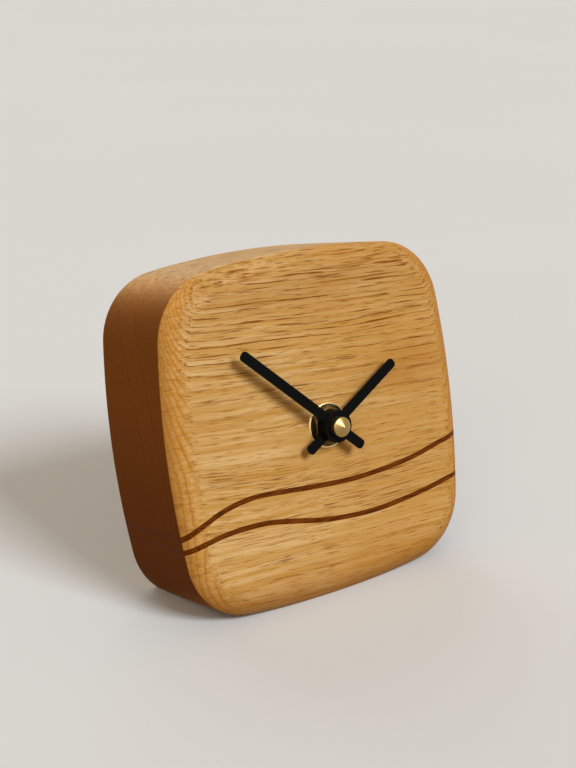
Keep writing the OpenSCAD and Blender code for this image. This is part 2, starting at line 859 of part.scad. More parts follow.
// Folded leaf that presses on the flat end of the battery
module contact_negative() {
    crest = battery_left - battery_play;
    foot = inner_left + contact_t;
    leaf_half = 4;
    crest_half = 0.6;
    leaf_in = leaf_half - 2 * contact_t;
    crest_in = crest_half - contact_t / 4;
    color("silver") on_face() layer(contact_w, contact_h) difference() {
        union() {
            box_2d(inner_left, contact_low, foot, contact_high);
            polygon([[foot, battery_v - leaf_half], [crest, battery_v - crest_half],
                [crest, battery_v + crest_half], [foot, battery_v + leaf_half]]);
        }
        polygon([[foot, battery_v - leaf_in], [crest - contact_t, battery_v - crest_in],
            [crest - contact_t, battery_v + crest_in], [foot, battery_v + leaf_in]]);
    }
}

module battery() {
    r = battery_d / 2;
    bevel = 0.5;
    can_len = battery_len - nub_h;
    color("darkslategray") on_face()
        translate([battery_left, battery_v, movement_n - battery_w]) rotate([0, 90, 0])
            rotate_extrude() polygon([
                [0, 0], [r - bevel, 0], [r, bevel], [r, can_len - bevel], [r - bevel, can_len],
                [nub_r, can_len], [nub_r, battery_len], [0, battery_len],
            ]);
}

case_upper();
case_band();
case_foot();
inlay_upper();
inlay_lower();
face_washer();
bush_nut();
threaded_bush();
rubber_gasket();
hour_hand();
minute_hand();
cap_nut();
movement_case();
movement_cover();
wheel_bridge();
hour_wheel();
minute_arbor();
motion_wheel();
setting_pinion();
setting_knob();
center_wheel();
third_wheel();
second_wheel();
intermediate_wheel();
rotor_pinion();
rotor_magnet();
stator();
coil_bobbin();
coil_winding();
circuit_board();
crystal_can();
chip_cover();
contact_positive();
contact_negative();
battery();
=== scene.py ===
import json
from math import asin, atan2, ceil, cos, hypot, pi, radians, sin, sqrt

import bmesh
import bpy
from mathutils import Matrix, Vector


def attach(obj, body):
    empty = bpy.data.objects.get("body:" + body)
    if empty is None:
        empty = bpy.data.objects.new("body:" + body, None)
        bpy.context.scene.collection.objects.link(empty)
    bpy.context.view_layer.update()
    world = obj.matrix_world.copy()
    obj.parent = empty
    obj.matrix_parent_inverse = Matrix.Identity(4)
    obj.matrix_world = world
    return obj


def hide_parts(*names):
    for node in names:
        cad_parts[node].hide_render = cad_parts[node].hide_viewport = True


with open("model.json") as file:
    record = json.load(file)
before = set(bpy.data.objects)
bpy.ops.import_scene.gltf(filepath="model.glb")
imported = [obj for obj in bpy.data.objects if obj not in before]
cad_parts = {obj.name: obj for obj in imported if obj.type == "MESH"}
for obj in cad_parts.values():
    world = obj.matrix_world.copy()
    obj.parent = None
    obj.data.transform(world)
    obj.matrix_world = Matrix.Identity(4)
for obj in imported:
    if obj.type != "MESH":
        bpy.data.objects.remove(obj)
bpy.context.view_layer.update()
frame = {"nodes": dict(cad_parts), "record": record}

# Sizes of the clock in millimetres, as the solids have them
BLOCK_W = 100.0
SIDE_R = 250.0
CORNER_R = 20.0
DEPTH = 36.0
EDGE_W = 8.0
EDGE_D = 4.5
BASE_CUT = 0.7
WEB_T = 10.0
LEAN = radians(12.0)
STRIP_T = 1.5
UPPER_V = -16.0
LOWER_V = -26.0
BUSH_HOLE_R = 4.5
POCKET = (-30.0, -30.008, 30.0, 29.992)
POCKET_R = 4.0
MOVEMENT_BACK = -28.0
COVER = (-28.0, -11.908, 28.0, 27.992)
KNOB_AT = (18.3006, -4.0571)
KNOB_R = 5.5
KNOB_BACK = -31.8
BATTERY_LEFT = -24.2
BATTERY_V = -19.308
BATTERY_N = -20.4
BATTERY_R = 7.1
BATTERY_LEN = 50.5
NUB_H = 1.0
NUB_R = 2.7
NUT_AF = 10.0
NUT_BACK = 0.5
NUT_FRONT = 2.0
NUT_BORE_R = 4.02
WASHER_R = 6.5
WASHER_T = 0.5
WASHER_BORE_R = 4.1

# The face stands in the row frame with its centre here
MM = 0.001
CUT_V = -BLOCK_W / 2 + BASE_CUT
FACE_Z = -CUT_V * cos(LEAN) + EDGE_D * sin(LEAN)
BACK_CUT_V = (DEPTH * sin(LEAN) - FACE_Z) / cos(LEAN)
FACE_Y = -(CUT_V * sin(LEAN) + EDGE_D * cos(LEAN) + BACK_CUT_V * sin(LEAN) + DEPTH * cos(LEAN)) / 2
FACE_TO_ROW = Matrix((
    (MM, 0, 0, 0),
    (0, MM * sin(LEAN), -MM * cos(LEAN), MM * FACE_Y),
    (0, MM * cos(LEAN), MM * sin(LEAN), MM * FACE_Z),
    (0, 0, 0, 1),
))

# Steps round curves, and the angle in degrees at which shading breaks
SIDE_STEPS = 14
CORNER_STEPS = 22
BOX_CORNER_STEPS = 10
FITTING_STEPS = 96
BATTERY_STEPS = 64
DRILL_STEPS = 64
RING_STEPS = 40
WOOD_BREAK = 28
EASE_STEPS = 2

scene = bpy.context.scene
nodes = frame["nodes"]
made_pieces = []


# Shapes

def polar(r, a):
    return r * cos(a), r * sin(a)


def circle(r, count, u=0.0, v=0.0):
    """Points round a circle."""
    spokes = [polar(r, 2 * pi * k / count) for k in range(count)]
    return [(u + x, v + y) for x, y in spokes]


def block_outline(inset):
    """Points round the block's front view: four bowed sides and four round corners."""
    side_c = BLOCK_W / 2 - SIDE_R
    corner_c = (side_c + sqrt(2 * (SIDE_R - CORNER_R) ** 2 - side_c ** 2)) / 2
    join = atan2(corner_c, corner_c - side_c)
    quarter = []
    for k in range(-SIDE_STEPS, SIDE_STEPS):
        x, y = polar(SIDE_R - inset, join * k / SIDE_STEPS)
        quarter.append((side_c + x, y))
    for k in range(CORNER_STEPS):
        x, y = polar(CORNER_R - inset, join + (pi / 2 - 2 * join) * k / CORNER_STEPS)
        quarter.append((corner_c + x, corner_c + y))
    points = []
    for turn in range(4):
        c, s = round(cos(turn * pi / 2)), round(sin(turn * pi / 2))
        points += [(x * c - y * s, x * s + y * c) for x, y in quarter]
    return points


def round_box(left, bottom, right, top, r, steps=BOX_CORNER_STEPS):
    """Points round a box with round corners."""
    points = []
    corners = ((right - r, top - r), (left + r, top - r), (left + r, bottom + r), (right - r, bottom + r))
    for turn, (x, y) in enumerate(corners):
        for k in range(steps + 1):
            dx, dy = polar(r, pi / 2 * (turn + k / steps))
            points.append((x + dx, y + dy))
    return points


def skin(rings, round_a_hole=False):
    """A closed mesh through rings of points; round a hole, the last ring joins the first."""
    bm = bmesh.new()
    rows = [[bm.verts.new(p) for p in ring] for ring in rings]
    count = len(rows[0])
    following = rows[1:] + rows[:1] if round_a_hole else rows[1:]
    for low, high in zip(rows, following):
        for i in range(count):
            j = (i + 1) % count
            bm.faces.new((low[i], low[j], high[j], high[i]))
    if not round_a_hole:
        bm.faces.new(list(reversed(rows[0])))
        bm.faces.new(rows[-1])
    bmesh.ops.recalc_face_normals(bm, faces=bm.faces[:])
    return bm


def level(outline, n):
    return [(x, y, n) for x, y in outline]


def as_object(bm, name):
    mesh = bpy.data.meshes.new(name)
    bm.to_mesh(mesh)
    bm.free()
    obj = bpy.data.objects.new(name, mesh)
    scene.collection.objects.link(obj)
    return obj


def drop(obj):
    mesh = obj.data
    bpy.data.objects.remove(obj)
    bpy.data.meshes.remove(mesh)


def cut(obj, tool, how):
    """Cuts obj with a tool, and takes the tool away."""
    step = obj.modifiers.new("cut", "BOOLEAN")
    step.operation = how
    step.solver = "EXACT"
    step.object = tool
    shape = obj.evaluated_get(bpy.context.evaluated_depsgraph_get())
    mesh = bpy.data.meshes.new_from_object(shape)
    obj.modifiers.clear()
    old = obj.data
    obj.data = mesh
    bpy.data.meshes.remove(old)
    drop(tool)


def smooth(obj, sharp=WOOD_BREAK, ease=0.0):
    """Soft shading that breaks only at true edges, which may be eased by a tenth of a millimetre or so."""
    obj.data.polygons.foreach_set("use_smooth", [True] * len(obj.data.polygons))
    if ease:
        step = obj.modifiers.new("eased_edges", "BEVEL")
        step.width = ease * MM
        step.segments = EASE_STEPS
        step.limit_method = "ANGLE"
        step.angle_limit = radians(sharp)
    else:
        obj.data.set_sharp_from_angle(angle=radians(sharp))
    step = obj.modifiers.new("even_normals", "WEIGHTED_NORMAL")
    step.keep_sharp = True


def stand(obj, sharp=WOOD_BREAK, ease=0.0):
    """Takes a shape from the face's millimetres to its place in the row frame, and shades it."""
    obj.data.transform(FACE_TO_ROW)
    obj.data.update()
    smooth(obj, sharp, ease)


def carry(obj, body, slot, *solids):
    """Puts a piece on a body, with the slot of its finish and the solids that it stands for."""
    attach(obj, body)
    if solids:
        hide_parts(*solids)
    made_pieces.append((obj, slot))


# The oak block, cut along two waves

UPPER_COURSE = ((-48, -5.3), (-44, -2.8), (-39, -0.7), (-33, 0.7), (-26, 1.3), (-16, 0.5), (-4, -0.6),
                (8, -1.2), (20, -0.7), (30, 0.4), (40, 2.5), (48, 3.8))
LOWER_COURSE = ((-48, 0.6), (-43, 2.4), (-37, 3.3), (-30, 3.5), (-23, 3.1), (-15, 1.6), (-6, -0.3),
                (4, -1.6), (14, -2), (24, -1.4), (34, -0.3), (42, 1), (48, 1.3))
COURSE_PAST = 4.0
COURSE_STEP = 0.8
SLOPE_STEP = 0.01
EDGE_STEPS = 18
EDGE_SOFT = 0.35
BACK_R = 0.7
SMALL_ARC_STEPS = 5
MOUTH_CHAMFER = 0.5
DRILL_PAST = 1.0
SAW_PAST = 2.0
TABLE_REACH = 90.0
TABLE_DEPTH = 40.0
WELD = 0.002
SLIVER = 0.001


def course_slope(p, i):
    a, b = max(i - 1, 0), min(i + 1, len(p) - 1)
    return (p[b][1] - p[a][1]) / (p[b][0] - p[a][0])


def course_height(p, u):
    """Height of a smooth course through listed points."""
    i = 0
    while i < len(p) - 2 and u >= p[i + 1][0]:
        i += 1
    d, x = p[i + 1][0] - p[i][0], u - p[i][0]
    t, m0, m1 = x / d, course_slope(p, i), course_slope(p, i + 1)
    if t < 0:
        return p[i][1] + m0 * x
    if t > 1:
        return p[i + 1][1] + m1 * (x - d)
    bend = d * t * (1 - t) * (m0 * (1 - t) - m1 * t)
    return p[i][1] * (1 + 2 * t) * (1 - t) ** 2 + p[i + 1][1] * t * t * (3 - 2 * t) + bend


def strip_edge(p, v, side):
    """One side of a walnut strip, from left to right."""
    reach = BLOCK_W / 2 + COURSE_PAST
    count = ceil(2 * reach / COURSE_STEP)
    edge = []
    for k in range(count + 1):
        u = -reach + 2 * reach * k / count
        rise = course_height(p, u + SLOPE_STEP) - course_height(p, u - SLOPE_STEP)
        slope = rise / (2 * SLOPE_STEP)
        off = side * STRIP_T / 2 / hypot(1, slope)
        edge.append((u - slope * off, v + course_height(p, u) + off))
    return edge


def block_profile():
    """Pairs of inset and depth, from the softened back edge to the round front edge."""
    arc_r = (EDGE_W ** 2 + EDGE_D ** 2) / (2 * EDGE_D)
    start = asin(EDGE_W / arc_r) - EDGE_SOFT / arc_r
    profile = []
    for k in range(SMALL_ARC_STEPS + 1):
        a = pi / (2 * SMALL_ARC_STEPS) * k
        profile.append((BACK_R * (1 - sin(a)), -DEPTH + BACK_R * (1 - cos(a))))
    tip = (EDGE_W - arc_r * sin(start), arc_r * (cos(start) - 1))
    for k in range(SMALL_ARC_STEPS + 1):
        t = k / SMALL_ARC_STEPS
        low, mid, high = (1 - t) ** 2, 2 * t * (1 - t), t * t
        profile.append((high * tip[0], low * (-EDGE_D - EDGE_SOFT) - mid * EDGE_D + high * tip[1]))
    for k in range(1, EDGE_STEPS + 1):
        a = start * (1 - k / EDGE_STEPS)
        profile.append((EDGE_W - arc_r * sin(a), arc_r * (cos(a) - 1)))
    return profile


def oak_blank():
    """The whole block, hollowed for the movement and cut flat below."""
    block = as_object(skin([level(block_outline(inset), n) for inset, n in block_profile()]), "oak_blank")

    left, bottom, right, top = POCKET
    mouth = []
    for grow, n in ((2 * MOUTH_CHAMFER, -DEPTH - MOUTH_CHAMFER), (0, -DEPTH + MOUTH_CHAMFER), (0, -WEB_T)):
        outline = round_box(left - grow, bottom - grow, right + grow, top + grow, POCKET_R + grow)
        mouth.append(level(outline, n))
    cut(block, as_object(skin(mouth), "pocket_tool"), "DIFFERENCE")

    hole = circle(BUSH_HOLE_R, DRILL_STEPS)
    drill = skin([level(hole, -WEB_T - DRILL_PAST), level(hole, DRILL_PAST)])
    cut(block, as_object(drill, "drill_tool"), "DIFFERENCE")

    square = [(TABLE_REACH * x, TABLE_REACH * y) for x, y in ((-1, -1), (1, -1), (1, 1), (-1, 1))]
    table = as_object(skin([level(square, -TABLE_DEPTH), level(square, 0)]), "table_tool")
    table.data.transform(FACE_TO_ROW.inverted() @ Matrix.Diagonal((MM, MM, MM, 1)))
    cut(block, table, "DIFFERENCE")
    return block


def wood_piece(name, blank, outline):
    """The part of the blank between two waves."""
    piece = bpy.data.objects.new(name, blank.data.copy())
    scene.collection.objects.link(piece)
    saw = skin([level(outline, -DEPTH - SAW_PAST), level(outline, SAW_PAST)])
    cut(piece, as_object(saw, "saw_tool"), "INTERSECT")
    bm = bmesh.new()
    bm.from_mesh(piece.data)
    bmesh.ops.remove_doubles(bm, verts=bm.verts[:], dist=WELD)
    bmesh.ops.dissolve_degenerate(bm, dist=SLIVER, edges=bm.edges[:])
    bm.to_mesh(piece.data)
    bm.free()
    piece.data.name = name
    stand(piece)
    return piece


def wood_block():
    """Three blocks of oak with two strips of walnut between them."""
    upper_top, upper_low = (strip_edge(UPPER_COURSE, UPPER_V, side) for side in (1, -1))
    lower_top, lower_low = (strip_edge(LOWER_COURSE, LOWER_V, side) for side in (1, -1))
    above = [(BLOCK_W, BLOCK_W), (-BLOCK_W, BLOCK_W)]
    below = [(BLOCK_W, -BLOCK_W), (-BLOCK_W, -BLOCK_W)]
    blank = oak_blank()
    wood = (
        ("oak_upper", "oak", "case_upper", upper_top + above),
        ("oak_band", "oak", "case_band", lower_top + upper_low[::-1]),
        ("oak_foot", "oak", "case_foot", lower_low + below),
        ("walnut_upper", "walnut", "inlay_upper", upper_low + upper_top[::-1]),
        ("walnut_lower", "walnut", "inlay_lower", lower_low + lower_top[::-1]),
    )
    for name, slot, solid, outline in wood:
        carry(wood_piece(name, blank, outline), "clock_body", slot, solid)
    drop(blank)


wood_block()


# Fittings on the face

WASHER_EDGE_W = 0.4
WASHER_ROLL = 0.42
WASHER_CHAMFER = 0.1
WASHER_BREAK = 35
NUT_TURNED = 0.1
NUT_SLOPE = sqrt(3)
NUT_LIP = 0.25
NUT_BREAK = 20
SOLID_BREAK = 30
EASED_SOLIDS = {"cap_nut": 0.1, "hour_hand": 0.15, "minute_hand": 0.15, "setting_knob": 0.15,
                "movement_cover": 0.2}


def brass_washer():
    """A flat washer whose rolled edge is a separate piece in brass painted bright, a painted highlight,
    beside a face in brass painted dark; returns the edge.
    """
    flat_r = WASHER_R - WASHER_EDGE_W
    flat = [(WASHER_BORE_R, 0), (WASHER_BORE_R, WASHER_T - WASHER_CHAMFER),
            (WASHER_BORE_R + WASHER_CHAMFER, WASHER_T), (flat_r, WASHER_T), (flat_r, 0)]
    rolled = [(flat_r, 0), (flat_r, WASHER_T)]
    for a in (pi / 8, pi / 4, 3 * pi / 8, pi / 2):
        rolled.append((flat_r + WASHER_EDGE_W * sin(a), WASHER_T - WASHER_ROLL * (1 - cos(a))))
    rolled.append((WASHER_R, 0))
    pieces = []
    for name, profile in (("brass_washer", flat), ("washer_edge", rolled)):
        rings = [level(circle(r, FITTING_STEPS), n) for r, n in profile]
        pieces.append(as_object(skin(rings, round_a_hole=True), name))
        stand(pieces[-1], WASHER_BREAK)
    washer, edge = pieces
    carry(washer, "clock_body", "brass", "face_washer")
    carry(edge, "clock_body", "brass")
    return edge


def brass_nut():
    """A hexagonal nut with its corners turned down at the front."""
    turned_r = NUT_AF / 2 - NUT_TURNED
    rows = [[] for _ in range(6)]
    for k in range(FITTING_STEPS):
        a = 2 * pi * k / FITTING_STEPS
        side_r = NUT_AF / 2 / cos((a + pi / 6) % (pi / 3) - pi / 6)
        corner_n = NUT_FRONT - (side_r - turned_r) / NUT_SLOPE
        rows[0].append((*polar(side_r, a), NUT_BACK))
        rows[1].append((*polar(side_r, a), corner_n))
        rows[2].append((*polar(turned_r, a), NUT_FRONT))
        rows[3].append((*polar(NUT_BORE_R + NUT_LIP, a), NUT_FRONT))
        rows[4].append((*polar(NUT_BORE_R, a), NUT_FRONT - NUT_LIP))
        rows[5].append((*polar(NUT_BORE_R, a), NUT_BACK))
    nut = as_object(skin(rows, round_a_hole=True), "brass_nut")
    stand(nut, NUT_BREAK)
    carry(nut, "clock_body", "brass", "bush_nut")


washer_edge = brass_washer()
brass_nut()
for node, ease in EASED_SOLIDS.items():
    smooth(nodes[node], SOLID_BREAK, ease)


# Battery and marks on the movement

SLEEVE_INSET = 0.1
SLEEVE_ROLL = 0.45
SLEEVE_WALL = 0.25
SLEEVE_HEM = 1.1
CORE_GAP = 0.05
CORE_SHOULDER = 0.7
FLAT_END = ((0.0, 4.3), (0.12, 4.7), (0.3, 5.0), (0.4, 6.2))
NUB_END = ((-0.45, 6.2), (-0.35, 4.2), (-0.1, 3.4))
NUB_ROUND = ((-0.3, -0.05), (-0.08, -0.25), (0, -0.6))
NUB_FOOT = (0.15, 0.05)
MARK_H = 0.25
MARK_SUNK = 0.05
MARK_BREAK = 40
MARK_EASE = 0.06
RING_EASE = 0.08
COVER_RIM = 2.6
COVER_RIB_W = 0.9
COVER_RIB_H = 0.35
COVER_RIB_R = 2.2
COVER_RIB_INNER_R = 1.3
COVER_RIB_ABOVE_KNOB = 4.4
MOULD_RINGS = ((-20, 10.5), (20, 10.5), (-20, 20.5), (20, 20.5))
MOULD_RING_R = 1.6
MOULD_RING_INNER_R = 1.25
MOULD_RING_H = 0.12
ARROW_OFF_KNOB = 2.0
ARROW_HALF_W = 0.3
ARROW_HEAD = 0.9
ARROW_FROM = radians(95)
ARROW_TO = radians(165)
ARROW_TIP = radians(178)
ARROW_STEPS = 16
SIGN_ARM = 1.3
SIGN_HALF_W = 0.35
SIGN_INSET = (2.2, 2.3)
SIGN_CORNER = 0.1
SIGN_CORNER_STEPS = 2
KNOB_BAR = (3.6, 0.45)
KNOB_BAR_CORNER = 0.4
KNOB_BAR_STEPS = 4
CLIP_SHAPE = ((-20.5, 0.15), (-21.5, 0.35), (-25.6, 1.0), (-26.2, 1.0), (-26.8, 0.5), (-27.6, 0.4))
CLIP_SPANS = ((-6, -1), (15, 20))
CLIP_SUNK = 0.1


def turned_along_u(profile):
    """Rings round the battery's axis, from pairs of place along it and radius."""
    rings = []
    for along, r in profile:
        ring = circle(r, BATTERY_STEPS)
        rings.append([(BATTERY_LEFT + along, BATTERY_V + x, BATTERY_N + y) for x, y in ring])
    return rings


def battery():
    """A sleeve with rolled ends over a steel can with a nub on its right end."""
    can = BATTERY_LEN - NUB_H
    left, right = SLEEVE_INSET, can - SLEEVE_INSET
    outer = []
    for end, inward, turns in ((left, 1, (pi / 2, pi / 4, 0)), (right, -1, (0, pi / 4, pi / 2))):
        for a in turns:
            along = end + inward * SLEEVE_ROLL * (1 - sin(a))
            outer.append((along, BATTERY_R - SLEEVE_ROLL * (1 - cos(a))))
    hem_r, bore_r = BATTERY_R - SLEEVE_HEM, BATTERY_R - 2 * SLEEVE_WALL
    inner = [(right, hem_r), (right - SLEEVE_WALL, hem_r), (right - SLEEVE_WALL, bore_r)]
    inner += [(left + SLEEVE_WALL, bore_r), (left + SLEEVE_WALL, hem_r), (left, hem_r)]
    sleeve = as_object(skin(turned_along_u(outer + inner), round_a_hole=True), "battery_sleeve")

    core_r = bore_r - CORE_GAP
    ends = list(FLAT_END) + [(CORE_SHOULDER, core_r), (can - CORE_SHOULDER, core_r)]
    ends += [(can + along, r) for along, r in NUB_END]
    ends.append((can + NUB_FOOT[0], NUB_R + NUB_FOOT[1]))
    ends += [(BATTERY_LEN + along, NUB_R + more) for along, more in NUB_ROUND]
    core = as_object(skin(turned_along_u(ends)), "battery_ends")
    stand(sleeve)
    carry(sleeve, "battery", "battery_can", "battery")
    stand(core)
    carry(core, "battery", "steel")


def raised_mark(name, outline, back, body="clock_body"):
    """A low moulded mark that stands behind a flat surface."""
    mark = as_object(skin([level(outline, back - MARK_H), level(outline, back + MARK_SUNK)]), name)
    stand(mark, MARK_BREAK, MARK_EASE)
    carry(mark, body, "black_plastic")


def raised_ring(name, outer, inner, height):
    """A low moulded rib round a plain middle, on the back of the cover."""
    base, top = MOVEMENT_BACK + MARK_SUNK, MOVEMENT_BACK - height
    rings = [level(outer, base), level(outer, top), level(inner, top), level(inner, base)]
    ring = as_object(skin(rings, round_a_hole=True), name)
    stand(ring, MARK_BREAK, RING_EASE)
    carry(ring, "clock_body", "black_plastic")


def turn_arrow():
    """A curved arrow beside the knob, along the way that sets the hands forward."""
    mid = KNOB_R + ARROW_OFF_KNOB
    sweep = [ARROW_FROM + (ARROW_TO - ARROW_FROM) * k / ARROW_STEPS for k in range(ARROW_STEPS + 1)]
    points = [polar(mid + ARROW_HALF_W, a) for a in sweep]
    points += [polar(mid + ARROW_HEAD, ARROW_TO), polar(mid, ARROW_TIP), polar(mid - ARROW_HEAD, ARROW_TO)]
    points += [polar(mid - ARROW_HALF_W, a) for a in reversed(sweep)]
    return [(KNOB_AT[0] + x, KNOB_AT[1] + y) for x, y in points]


def plus_outline(u, v):
    """A cross with four equal arms."""
    arm, half = SIGN_ARM, SIGN_HALF_W
    corners = [(-half, -arm), (half, -arm), (half, -half), (arm, -half), (arm, half), (half, half)]
    corners += [(-x, -y) for x, y in corners]
    return [(u + x, v + y) for x, y in corners]


def cover_details():
    """A raised frame, moulding rings, an arrow and signs on the movement, and a bar on the knob."""
    left, cover_low, right, top = COVER
    low, rib = KNOB_AT[1] + KNOB_R + COVER_RIB_ABOVE_KNOB, COVER_RIB_W
    frame_left, frame_right, frame_top = left + COVER_RIM, right - COVER_RIM, top - COVER_RIM
    outer = round_box(frame_left, low, frame_right, frame_top, COVER_RIB_R)
    inner = round_box(frame_left + rib, low + rib, frame_right - rib, frame_top - rib, COVER_RIB_INNER_R)
    raised_ring("cover_frame", outer, inner, COVER_RIB_H)
    for i, (u, v) in enumerate(MOULD_RINGS):
        outer, inner = (circle(r, RING_STEPS, u, v) for r in (MOULD_RING_R, MOULD_RING_INNER_R))
        raised_ring("moulding_ring_%d" % i, outer, inner, MOULD_RING_H)
    raised_mark("turn_arrow", turn_arrow(), MOVEMENT_BACK)
    out, sign_v = right - SIGN_INSET[0], cover_low + SIGN_INSET[1]
    raised_mark("plus_sign", plus_outline(out, sign_v), MOVEMENT_BACK)
    low, high = sign_v - SIGN_HALF_W, sign_v + SIGN_HALF_W
    minus = round_box(-out - SIGN_ARM, low, -out + SIGN_ARM, high, SIGN_CORNER, SIGN_CORNER_STEPS)
    raised_mark("minus_sign", minus, MOVEMENT_BACK)
    (u, v), (long, wide) = KNOB_AT, KNOB_BAR
    bar = round_box(u - long, v - wide, u + long, v + wide, KNOB_BAR_CORNER, KNOB_BAR_STEPS)
    raised_mark("knob_bar", bar, KNOB_BACK, "setting")


def cover_clips():
    """Snap hooks on the side walls of the movement."""
    for side, hand in ((-1, "left"), (1, "right")):
        wall = side * COVER[2]
        root = wall - side * CLIP_SUNK
        for i, (low, high) in enumerate(CLIP_SPANS):
            rings = []
            for n, t in CLIP_SHAPE:
                tip = wall + side * t
                rings.append([(root, low, n), (tip, low, n), (tip, high, n), (root, high, n)])
            clip = as_object(skin(rings), "cover_clip_%s_%d" % (hand, i))
            stand(clip, MARK_BREAK, MARK_EASE)
            carry(clip, "clock_body", "black_plastic")


battery()
cover_details()
cover_clips()


# Parts of a finish

def add(tree, kind, **settings):
    """A new node with its settings."""
    item = tree.nodes.new(kind)
    for key, value in settings.items():
        setattr(item, key, value)
    return item


def wire(tree, source, target):
    tree.links.new(source, target)


def feed(tree, socket, value):
    """Gives a socket a number or a colour, or joins it to another socket."""
    if isinstance(value, tuple):
        socket.default_value = (*value, 1)
    elif isinstance(value, (int, float)):
        socket.default_value = value
    else:
        wire(tree, value, socket)


def reckon(tree, operation, *values):
    """A sum of sockets and numbers; returns its output socket."""
    item = add(tree, "ShaderNodeMath", operation=operation)
    for socket, value in zip(item.inputs, values):
        feed(tree, socket, value)
    return item.outputs[0]


def times(tree, a, b):
    return reckon(tree, "MULTIPLY", a, b)


def times_plus(tree, a, b, c):
    return reckon(tree, "MULTIPLY_ADD", a, b, c)


def vectors(tree, operation, first, second=None):
    """A sum of vectors, the second a socket or three numbers; returns the node's outputs."""
    item = add(tree, "ShaderNodeVectorMath", operation=operation)
    wire(tree, first, item.inputs[0])
    if isinstance(second, tuple):
        item.inputs[1].default_value = second
    elif second is not None:
        wire(tree, second, item.inputs[1])
    return item.outputs


def stretch(tree, vector, factors):
    return vectors(tree, "MULTIPLY", vector, factors)["Vector"]


def split(tree, vector):
    """The three parts of a vector."""
    parts = add(tree, "ShaderNodeSeparateXYZ")
    wire(tree, vector, parts.inputs[0])
    return parts.outputs["X"], parts.outputs["Y"], parts.outputs["Z"]


def joined(tree, *parts):
    """A vector of three parts."""
    item = add(tree, "ShaderNodeCombineXYZ")
    for socket, part in zip(item.inputs, parts):
        wire(tree, part, socket)
    return item.outputs[0]


def soft_step(tree, value, low, high, to_low=0.0, to_high=1.0):
    """A smooth fade from to_low to to_high as the value goes from low to high."""
    item = add(tree, "ShaderNodeMapRange", interpolation_type="SMOOTHSTEP")
    ends = {"Value": value, "From Min": low, "From Max": high, "To Min": to_low, "To Max": to_high}
    for label, end in ends.items():
        feed(tree, item.inputs[label], end)
    return item.outputs["Result"]


def noise(tree, vector, scale=1.0, detail=2.0, rough=0.5):
    item = add(tree, "ShaderNodeTexNoise")
    wire(tree, vector, item.inputs["Vector"])
    item.inputs["Scale"].default_value = scale
    item.inputs["Detail"].default_value = detail
    item.inputs["Roughness"].default_value = rough
    return item.outputs["Fac"]


def blend(tree, factor, a, b):
    """Mixes two colours, each a socket or an RGB triple."""
    item = add(tree, "ShaderNodeMix", data_type="RGBA")
    for slot, value in ((0, factor), (6, a), (7, b)):
        feed(tree, item.inputs[slot], value)
    return item.outputs[2]


def srgb(r, g, b):
    """An on-screen colour of 0 to 255 as the shader's linear colour."""
    return tuple((c / 255 / 12.92) if c < 10.31 else ((c / 255 + 0.055) / 1.055) ** 2.4 for c in (r, g, b))


def face_space(tree):
    """Place in millimetres across the face, up it and out of it, and the way the surface looks."""
    place = add(tree, "ShaderNodeTexCoord")
    turn = add(tree, "ShaderNodeMapping")
    turn.inputs["Scale"].default_value = (1 / MM, 1 / MM, 1 / MM)
    turn.inputs["Rotation"].default_value = (LEAN - pi / 2, 0, 0)
    turn.inputs["Location"].default_value = FACE_TO_ROW.inverted().translation
    wire(tree, place.outputs["Object"], turn.inputs["Vector"])
    return turn.outputs["Vector"], place.outputs["Normal"]


# Effects that several finishes share

PORE_RIM = 0.12
EDGE_SAMPLES = 6
CLOUD_SCALE = 0.16


def group_tree(name, inputs, outputs):
    """An empty group; an input is a name with a number, or with None for a vector."""
    tree = bpy.data.node_groups.new(name, "ShaderNodeTree")
    for label, value in inputs.items():
        kind = "NodeSocketVector" if value is None else "NodeSocketFloat"
        socket = tree.interface.new_socket(name=label, in_out="INPUT", socket_type=kind)
        if value is not None:
            socket.default_value = value
    for label in outputs:
        tree.interface.new_socket(name=label, in_out="OUTPUT", socket_type="NodeSocketFloat")
    return tree, tree.nodes.new("NodeGroupInput").outputs, tree.nodes.new("NodeGroupOutput").inputs


def pores_group():
    """Open pores of a wood: dashes along the fibre, dots in end grain."""
    inputs = {"Vector": None, "Length": 7.0, "Width": 0.6, "Level": 0.6}
    tree, given, made = group_tree("wood_pores", inputs, ("Pores",))
    size = joined(tree, given["Length"], given["Width"], given["Width"])
    scaled = vectors(tree, "DIVIDE", given["Vector"], size)["Vector"]
    field = noise(tree, scaled, 1.0, 2.5, 0.55)
    over = reckon(tree, "SUBTRACT", field, given["Level"])
    wire(tree, soft_step(tree, over, 0.0, PORE_RIM), made["Pores"])
    return tree


def facing_group():
    """Which way a surface of the wood looks: to either end, to the right, out of the face."""
    tree, given, made = group_tree("wood_facing", {"Vector": None}, ("Sideways", "Right", "Forward"))
    right, back, up = split(tree, given["Vector"])
    wire(tree, reckon(tree, "ABSOLUTE", right), made["Sideways"])
    wire(tree, right, made["Right"])
    forward = times_plus(tree, up, sin(LEAN), times(tree, back, -cos(LEAN)))
    wire(tree, forward, made["Forward"])
    return tree


def edge_group():
    """How near the surface is to a sharp edge."""
    tree, given, made = group_tree("rubbed_edge", {"Reach": 0.0004, "Sharpness": 0.7}, ("Edge",))
    rounded = add(tree, "ShaderNodeBevel", samples=EDGE_SAMPLES)
    wire(tree, given["Reach"], rounded.inputs["Radius"])
    real = add(tree, "ShaderNodeNewGeometry")
    turn = vectors(tree, "DOT_PRODUCT", rounded.outputs[0], real.outputs["Normal"])["Value"]
    wire(tree, soft_step(tree, turn, 1.0, given["Sharpness"]), made["Edge"])
    return tree


